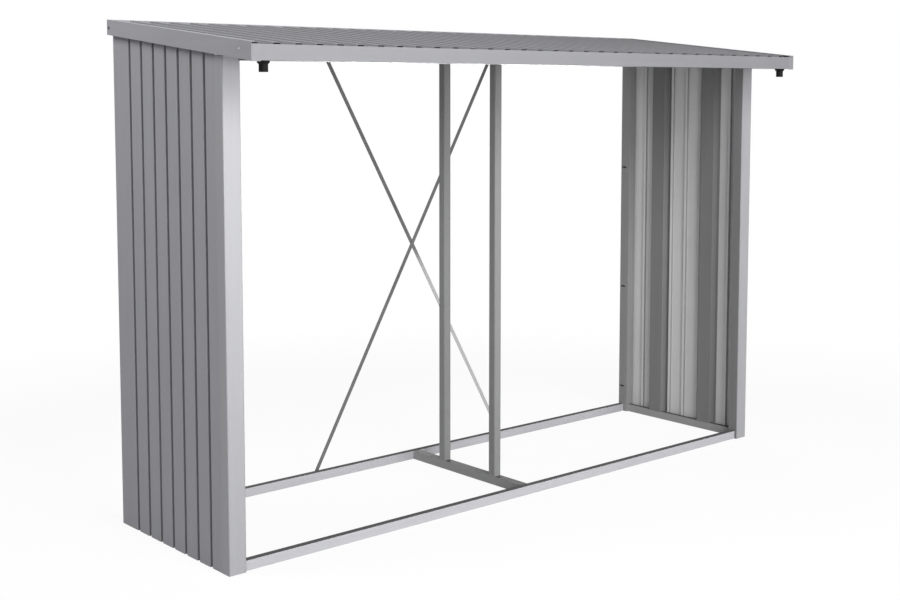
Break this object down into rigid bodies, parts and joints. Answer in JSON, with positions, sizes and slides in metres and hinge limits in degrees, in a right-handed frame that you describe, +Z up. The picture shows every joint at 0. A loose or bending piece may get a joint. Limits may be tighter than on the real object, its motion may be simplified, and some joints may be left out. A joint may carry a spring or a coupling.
{
  "type": "metal log store",
  "caption": "Open metal log store with grooved side walls, a middle frame, crossed rear braces and a sloping trapezoidal sheet roof that drains into a front gutter with end spouts.",
  "frame": {"origin": "centre of the overall box, on the ground", "axes": "+X to the right along the front, +Y from the front to the rear, +Z up"},
  "size_m": [3.02, 1.02, 1.99],
  "materials": {
    "silver_sheet": "metallic silver coat, satin",
    "frame_profile": "metallic grey coat, satin",
    "black_plastic": "moulded, matt"
  },
  "bodies": {
    "root": {"front_sill": "silver_sheet", "rear_sill": "silver_sheet", "front_post_left": "silver_sheet", "front_post_right": "silver_sheet", "left_wall_sheet": "silver_sheet", "right_wall_sheet": "silver_sheet", "roof_sheet_left": "silver_sheet", "roof_sheet_mid": "silver_sheet", "roof_sheet_right": "silver_sheet", "verge_left": "silver_sheet", "verge_right": "silver_sheet", "rear_trim": "silver_sheet", "gutter": "silver_sheet", "gutter_end_left": "silver_sheet", "gutter_end_right": "silver_sheet", "brace_rising": "silver_sheet", "brace_falling": "silver_sheet", "left_sill": "frame_profile", "right_sill": "frame_profile", "mid_sill": "frame_profile", "rear_post_left": "frame_profile", "rear_post_right": "frame_profile", "mid_post_front": "frame_profile", "mid_post_rear": "frame_profile", "left_upright_front": "frame_profile", "left_upright_rear": "frame_profile", "right_upright_front": "frame_profile", "right_upright_rear": "frame_profile", "front_beam": "frame_profile", "rear_beam": "frame_profile", "left_rafter": "frame_profile", "right_rafter": "frame_profile", "mid_rafter": "frame_profile", "spout_left": "black_plastic", "spout_right": "black_plastic"}
  },
  "joints": []
}
